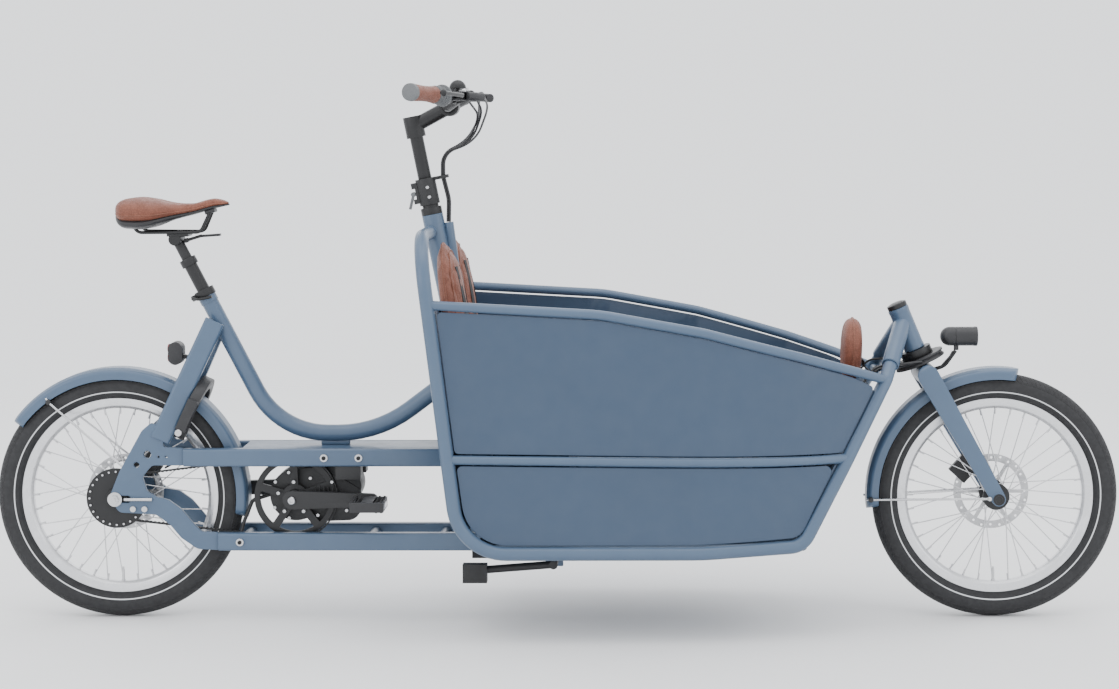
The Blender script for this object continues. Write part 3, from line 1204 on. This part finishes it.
pads = []
cushions = (
    ("seat_pad_right", (-120, -250, 452.3), (150, 210, 36)),
    ("seat_pad_left", (-120, 40, 452.3), (150, 210, 36)),
    ("seat_pad_front", (406, -150, 412.3), (152, 300, 36)))
for name, lo, size in cushions:
    c = A(lo) + A(size) / 2
    pad = stuffed(name, [pillow(round_rect(size[0] - 8, size[1] - 8, 22), size[2] - 8, c - [0, 0, 2],
        (1, 0, 0), (0, 1, 0))], lambda p: p[2] < lo[2] + 5, cell=6)
    dress(pad, "frame", ["seat_pads"] if name.endswith("front") else ())
    o = A(round_rect(size[0] - 2, size[1] - 2, 24))
    pads.append(piping(pad, np.column_stack([c[0] + o[:, 0], c[1] + o[:, 1], np.full(len(o), c[2])]), 1.8))
piece("seat_pad_piping", "frame", pads, stitch, ())

# %% [markdown]
# ## Saddle
#
# Eight stations along the saddle give its half width, top and underside. Between them the curves are
# smooth. A cross-section is |y / w|^2.6 + |z / h|^2.6 = 1, with a shallow groove down the middle. The
# skin is blown up as a pad, and a black shell closes it below.

# %%
saddle_back, saddle_long = -918, 235
T = [0, 0.06, 0.18, 0.34, 0.5, 0.7, 0.88, 1]
WIDE = [34, 66, 82, 76, 47, 29, 22, 10]
TOP = [868, 879, 884, 880, 873, 873, 882, 875]
LOW = [842, 828, 822, 825, 838, 850, 862, 868]


def curve(values, t):
    """A smooth curve through the stations: cubic Hermite with slopes from the neighbours."""
    x, y = A(T, float), A(values, float)
    slope = np.gradient(y, x)
    i = np.clip(np.searchsorted(x, t) - 1, 0, len(x) - 2)
    h = x[i + 1] - x[i]
    q = (t - x[i]) / h
    heights = (2 * q**3 - 3 * q**2 + 1) * y[i] + (3 * q**2 - 2 * q**3) * y[i + 1]
    return heights + (q**3 - 2 * q**2 + q) * h * slope[i] + (q**3 - q**2) * h * slope[i + 1]


def saddle_skin(t, grow, low, high, m=0, groove=4.0):
    """Rings of the saddle: grow scales the width, and low and high pick the share of its height."""
    x = saddle_back + saddle_long * t
    w, zt, zb = curve(WIDE, t) * grow, curve(TOP, t), curve(LOW, t)
    w = w * np.sqrt(np.clip(1 - (1 - np.minimum(1, np.minimum(t, 1 - t) / 0.05 + 0.12)) ** 2, 0.05, 1))
    a = np.linspace(0, 2 * np.pi, 56, endpoint=False)
    c, s = np.cos(a), np.sin(a)
    y = w[:, None] * np.sign(c) * np.abs(c) ** (2 / 2.6)
    z0, z1 = (zb + (zt - zb) * low)[:, None], (zb + (zt - zb) * high)[:, None]
    z = (z0 + z1) / 2 + (z1 - z0) / 2 * np.sign(s) * np.abs(s) ** (2 / 2.6)
    dip = groove * np.exp(-(y / 9) ** 2) * (s > 0) * np.exp(-((t[:, None] - 0.45) / 0.33) ** 4)
    return part(np.stack([np.broadcast_to(x[:, None], y.shape), y, z - dip], 2), m=m)


t = np.linspace(0, 1, 60)


def under_saddle(p):
    return p[2] < float(curve(LOW, A([(p[0] - saddle_back) / saddle_long]))[0]) + 12


saddle = stuffed("saddle_cover", [saddle_skin(t, 1.0, 0.1, 1.0)], under_saddle, cell=4.5, pressure=3.0,
    cap=0.005)
dress(saddle, "seat", ["saddle"])
rim_t = np.linspace(0.03, 0.97, 60)
line = np.stack([saddle_back + saddle_long * rim_t, curve(WIDE, rim_t),
    curve(LOW, rim_t) + 0.42 * (curve(TOP, rim_t) - curve(LOW, rim_t))], 1)
line = np.vstack([line, (line * (1, -1, 1))[::-1]])
piece("saddle_piping", "seat", [piping(saddle, line, 1.5)], stitch, ())
piece("saddle_shell", "seat", [saddle_skin(t, 0.92, -0.06, 0.35, groove=0),
    bar([-905, 0, 842], [-868, 0, 842], 92, 10, 4), bar([-732, 0, 852], [-712, 0, 858], 36, 9, 3)],
    black_plastic, ())

# %% [markdown]
# ## Cables
#
# Four housings leave the controls, bow forwards and drop to the guide ring, then go into the column
# tube. The upper run bends between the bar and the clamp as the bar slides; the lower run bends
# between the clamp and the frame as the bars turn.

# %%
ring_c = col_top + 58 * col_dir + 38 * A([math.cos(math.radians(11.2)), 0, math.sin(math.radians(11.2))])
bundle = [(-2.4, -2.4), (2.4, -2.4), (-2.4, 2.4), (2.4, 2.4)]
starts = [(-186, -176, 1097), (-196, -160, 1078), (-192, 158, 1086), (-186, 176, 1097)]
bow = [(-150, 1062), (-157, 1054), (-166, 1046), (-146, 1070)]
upper, lower = [], []
for (x, y, z), (bx, bz), (dx, dy) in zip(starts, bow, bundle):
    p = ring_c + [dx, dy, 0]
    upper.append(tube([[x, y, z], [x + 22, y * 0.86, z + 6], [bx, y * 0.38, bz], [bx - 24, y * 0.14, 1000],
        p + [0, 0, 48], p - [0, 0, 0.3]], [18, 60, 90, 90], 2.3, n=14))
    lower.append(tube([p + [0, 0, 0.3], [-225 + dx, dy, 880], [-226 + dx, dy, 833]], [80], 2.3, n=14))
upper_run = build("upper_cable_run", upper, jacket)
dress(upper_run, None, ["upper_cables"])
tuple(ring_c * 0.001)
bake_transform(upper_run)
lower_run = build("lower_cable_run", lower, jacket)
dress(lower_run, None, ["lower_cables"])
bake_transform(lower_run)
steer_line = [
    [-137, 56.5, 232], [440, 56.5, 232], [494, 80, 250], [634, 80, 502], [658, 78, 536], [700, 66, 540],
    [758, 56.3, 545]]
brake_line = [[-216, 47, 338.5], [-760, 47, 338.5], [-800, 45, 346], [-853, 44, 342]]
hub_line = [[-216, 47.4, 332], [-790, 46, 332], [-838, 50, 307]]
piece("frame_cable_run", "frame",
    both(tube(steer_line, [60, 60, 30, 30, 40], 2.5, n=12))
    + [tube(brake_line, [60, 60], 2.5, n=12), tube(hub_line, [40], 2.2, n=12)],
    jacket, ["frame_cables"])

# %% [markdown]
# ## Floor
#
# A pale disc whose cover fades with distance, so that it shows no edge against the pale world.

# %%
bpy.ops.mesh.primitive_circle_add(vertices=96, radius=30, fill_type="TRIFAN", location=(0, 0, -0.0005))
floor = bpy.context.object
floor.name = "floor"
floor.data.materials.append(floor_material)
print("floor laid")

# %%
print("pieces made:", len(counts), "faces:", sum(counts.values()))
